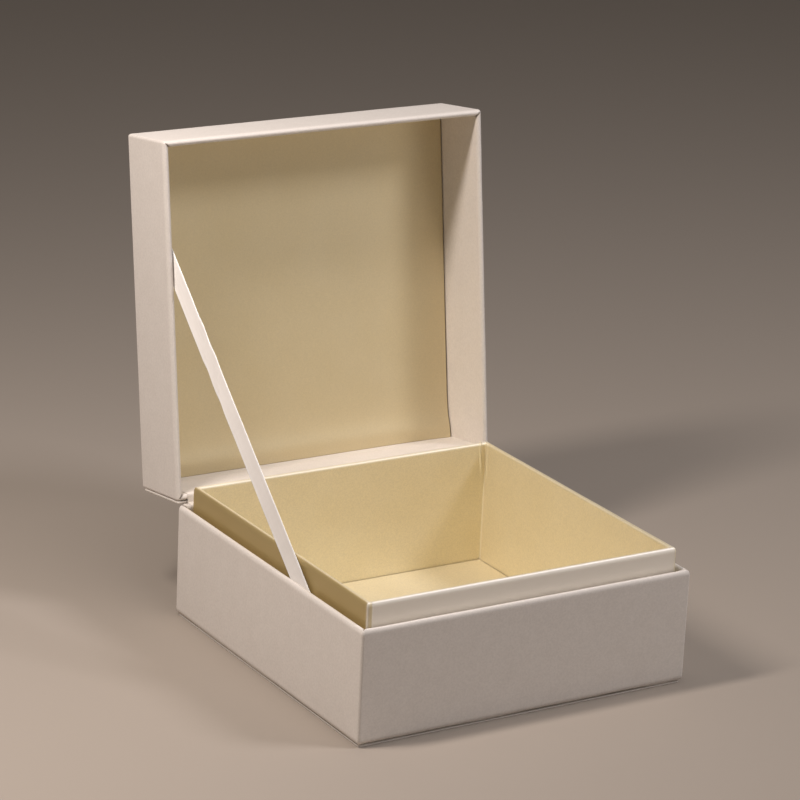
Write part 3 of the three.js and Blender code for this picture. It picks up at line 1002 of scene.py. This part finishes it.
class BuildBoards(bpy.types.Operator):
    """Adds the greyboard trays and neck board inside their papers, and finishes the other card and tapes"""

    bl_idname = "gift_box.boards"
    bl_label = "Boards and tape"

    def execute(self, context):
        colours = context.scene.gift_box_colours
        sizes = context.scene.gift_box_sizes
        board = the_material(greyboard, "grey_chipboard", colours.board, colours.board_fleck)
        stations = loop_stations(6, eased(9))

        low, high = rest_box("base_board")
        points = carried(self.tray_profile(low, high), low, high, 0.7 * MM, stations)
        piece = welded(surface("base_greyboard", points, loop=True))
        finished(piece, board, "greyboard", "base_board")
        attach(piece, "base")

        low, high = shut_box("lid_board")
        points = carried(self.tray_profile(low, high), low, high, 0.7 * MM, stations)
        points[..., 2] = low[2] + high[2] - points[..., 2]
        piece = welded(surface("lid_greyboard", opened(points), loop=True, flip=True))
        finished(piece, board, "greyboard", "lid_board")
        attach(piece, "lid")

        low, high = rest_box("neck_board")
        half = sizes.neck_board / 2
        profile = joined(
            line((0, low[2]), (0, high[2] - half), 10),
            bend((half, high[2] - half), (half, half), 180, 0, 9),
            line((sizes.neck_board, high[2] - half), (sizes.neck_board, low[2]), 10),
            line((sizes.neck_board, low[2]), (0, low[2]), 3),
        )
        points = carried(profile, low, high, 0.5 * MM, stations)
        piece = welded(surface("neck_greyboard", points, loop=True))
        finished(piece, board, "greyboard", "neck_board")
        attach(piece, "base")
        kraft = the_material(gummed_tape, "gummed_kraft_tape", colours.tape, colours.tape_fleck)
        for name, node in frame["nodes"].items():
            if node.hide_render:
                continue
            material = kraft if "_tape_" in name else board
            node.data.materials.clear()
            node.data.materials.append(material)
        return {"FINISHED"}

    def tray_profile(self, low, high):
        """A board tray's section: out under its floor, up over the rounded rim, and back along the floor."""
        sizes = bpy.context.scene.gift_box_sizes
        wall, edge, reach = sizes.board, sizes.board_edge, (high[1] - low[1]) / 2
        return joined(
            line((reach, low[2]), (edge, low[2]), 5),
            bend((edge, low[2] + edge), (edge, edge), 270, 180, 5),
            line((0, low[2] + edge), (0, high[2] - wall / 2), 10),
            bend((wall / 2, high[2] - wall / 2), (wall / 2, wall / 2), 180, 0, 9),
            line((wall, high[2] - wall / 2), (wall, low[2] + wall), 10),
            line((wall, low[2] + wall), (reach, low[2] + wall), 5),
        )


class BuildStage(bpy.types.Operator):
    """Sets up the background paper, the lights and the camera"""

    bl_idname = "gift_box.stage"
    bl_label = "Stage"

    def execute(self, context):
        stage = context.scene.gift_box_stage
        # The sweep runs flat under the box, then curves up behind it on a wide radius.
        radius, sweep_front, back, half_width, height = 0.6, -3.0, 2.2, 4.0, 2.6
        path = joined(
            line((sweep_front, 0), (back - radius, 0), 12),
            bend((back - radius, radius), (radius, radius), -90, 0, 24),
            line((back, radius), (back, height), 6),
        )
        points = across(path, -half_width, half_width, 9)
        sweep = surface("background_sweep", points)
        sweep.data.materials.append(the_material(studio_sweep, "seamless_background_paper", stage.floor))

        # The key is a strip lying left to right, so it softens the shadow of a side and not that of a top.
        key, key_foot = (-0.35, 0.01, 0.53), (-0.35, 0.01, 0)
        self.light("key_light", stage.key_watts, (0.3, 0.07), key, key_foot, "#fff3ea")
        front, middle = (0.62, -0.5, 0.92), (0, 0.05, 0.08)
        self.light("front_light", stage.front_watts, (0.3, 0.3), front, middle, "#fdf8fa")
        self.light("top_light", stage.top_watts, (0.5, 0.5), (0, -0.05, 1.2), (0, 0, 0), "#fff5ef")
        low_corner, box_front = (0.66, -1.0, 0.18), (0, 0, 0.08)
        card = self.light("low_card", stage.card_watts, (0.7, 0.3), low_corner, box_front, "#fff3e6")
        card.visible_diffuse = False

        world = bpy.data.worlds.new("studio_room")
        world.use_nodes = True
        backdrop = world.node_tree.nodes["Background"]
        backdrop.inputs["Color"].default_value = stage.room
        backdrop.inputs["Strength"].default_value = stage.ambient
        context.scene.world = world
        context.scene.view_settings.view_transform = "Standard"

        data = bpy.data.cameras.new("camera")
        data.lens = stage.lens
        data.sensor_width = 36
        data.clip_start, data.clip_end = 0.05, 20
        camera = bpy.data.objects.new("camera", data)
        turn, tilt, roll = stage.camera_turn, stage.camera_tilt, stage.camera_roll
        ahead, down = math.cos(tilt), math.sin(tilt)
        forward = Vector((math.sin(turn) * ahead, math.cos(turn) * ahead, -down))
        level = Vector((math.cos(turn), -math.sin(turn), 0))
        upward = level.cross(forward)
        right = level * math.cos(roll) + upward * math.sin(roll)
        up = upward * math.cos(roll) - level * math.sin(roll)
        columns = Matrix((right, up, -forward)).transposed()
        camera.matrix_world = Matrix.Translation(stage.camera_place) @ columns.to_4x4()
        context.scene.collection.objects.link(camera)
        context.scene.camera = camera
        return {"FINISHED"}

    def light(self, name, watts, sides, place, target, tint):
        data = bpy.data.lights.new(name, "AREA")
        data.shape = "ELLIPSE"
        data.energy = watts
        data.size, data.size_y = sides
        data.color = linear(tint)[:3]
        lamp = bpy.data.objects.new(name, data)
        lamp.location = place
        lamp.rotation_euler = (Vector(target) - Vector(place)).to_track_quat("-Z", "Y").to_euler()
        bpy.context.scene.collection.objects.link(lamp)
        return lamp


class GiftBoxPanel(bpy.types.Panel):
    """Lists the gift box's pieces, sizes and colours"""

    bl_idname = "VIEW3D_PT_gift_box"
    bl_label = "Gift Box"
    bl_space_type = "VIEW_3D"
    bl_region_type = "UI"
    bl_category = "Gift Box"

    def draw(self, context):
        for operator in OPERATORS:
            self.layout.operator(operator.bl_idname)
        scene = context.scene
        for settings in (scene.gift_box_sizes, scene.gift_box_colours, scene.gift_box_stage):
            box = self.layout.box()
            for name in settings.__annotations__:
                box.prop(settings, name)


OPERATORS = (
    BuildTrayCovers,
    BuildUndersidePanel,
    BuildNeck,
    BuildLidLining,
    BuildHinge,
    BuildRibbon,
    BuildBoards,
    BuildStage,
)
SETTINGS = {
    "gift_box_sizes": GiftBoxSizes,
    "gift_box_colours": GiftBoxColours,
    "gift_box_stage": StageSettings,
}


def register():
    for item in (*SETTINGS.values(), *OPERATORS, GiftBoxPanel):
        bpy.utils.register_class(item)
    for name, group in SETTINGS.items():
        setattr(bpy.types.Scene, name, bpy.props.PointerProperty(type=group))


def unregister():
    for name in SETTINGS:
        delattr(bpy.types.Scene, name)
    for item in (GiftBoxPanel, *reversed(OPERATORS), *SETTINGS.values()):
        bpy.utils.unregister_class(item)


def main():
    register()
    for operator in OPERATORS:
        group, name = operator.bl_idname.split(".")
        getattr(getattr(bpy.ops, group), name)()


if __name__ == "__main__":
    main()
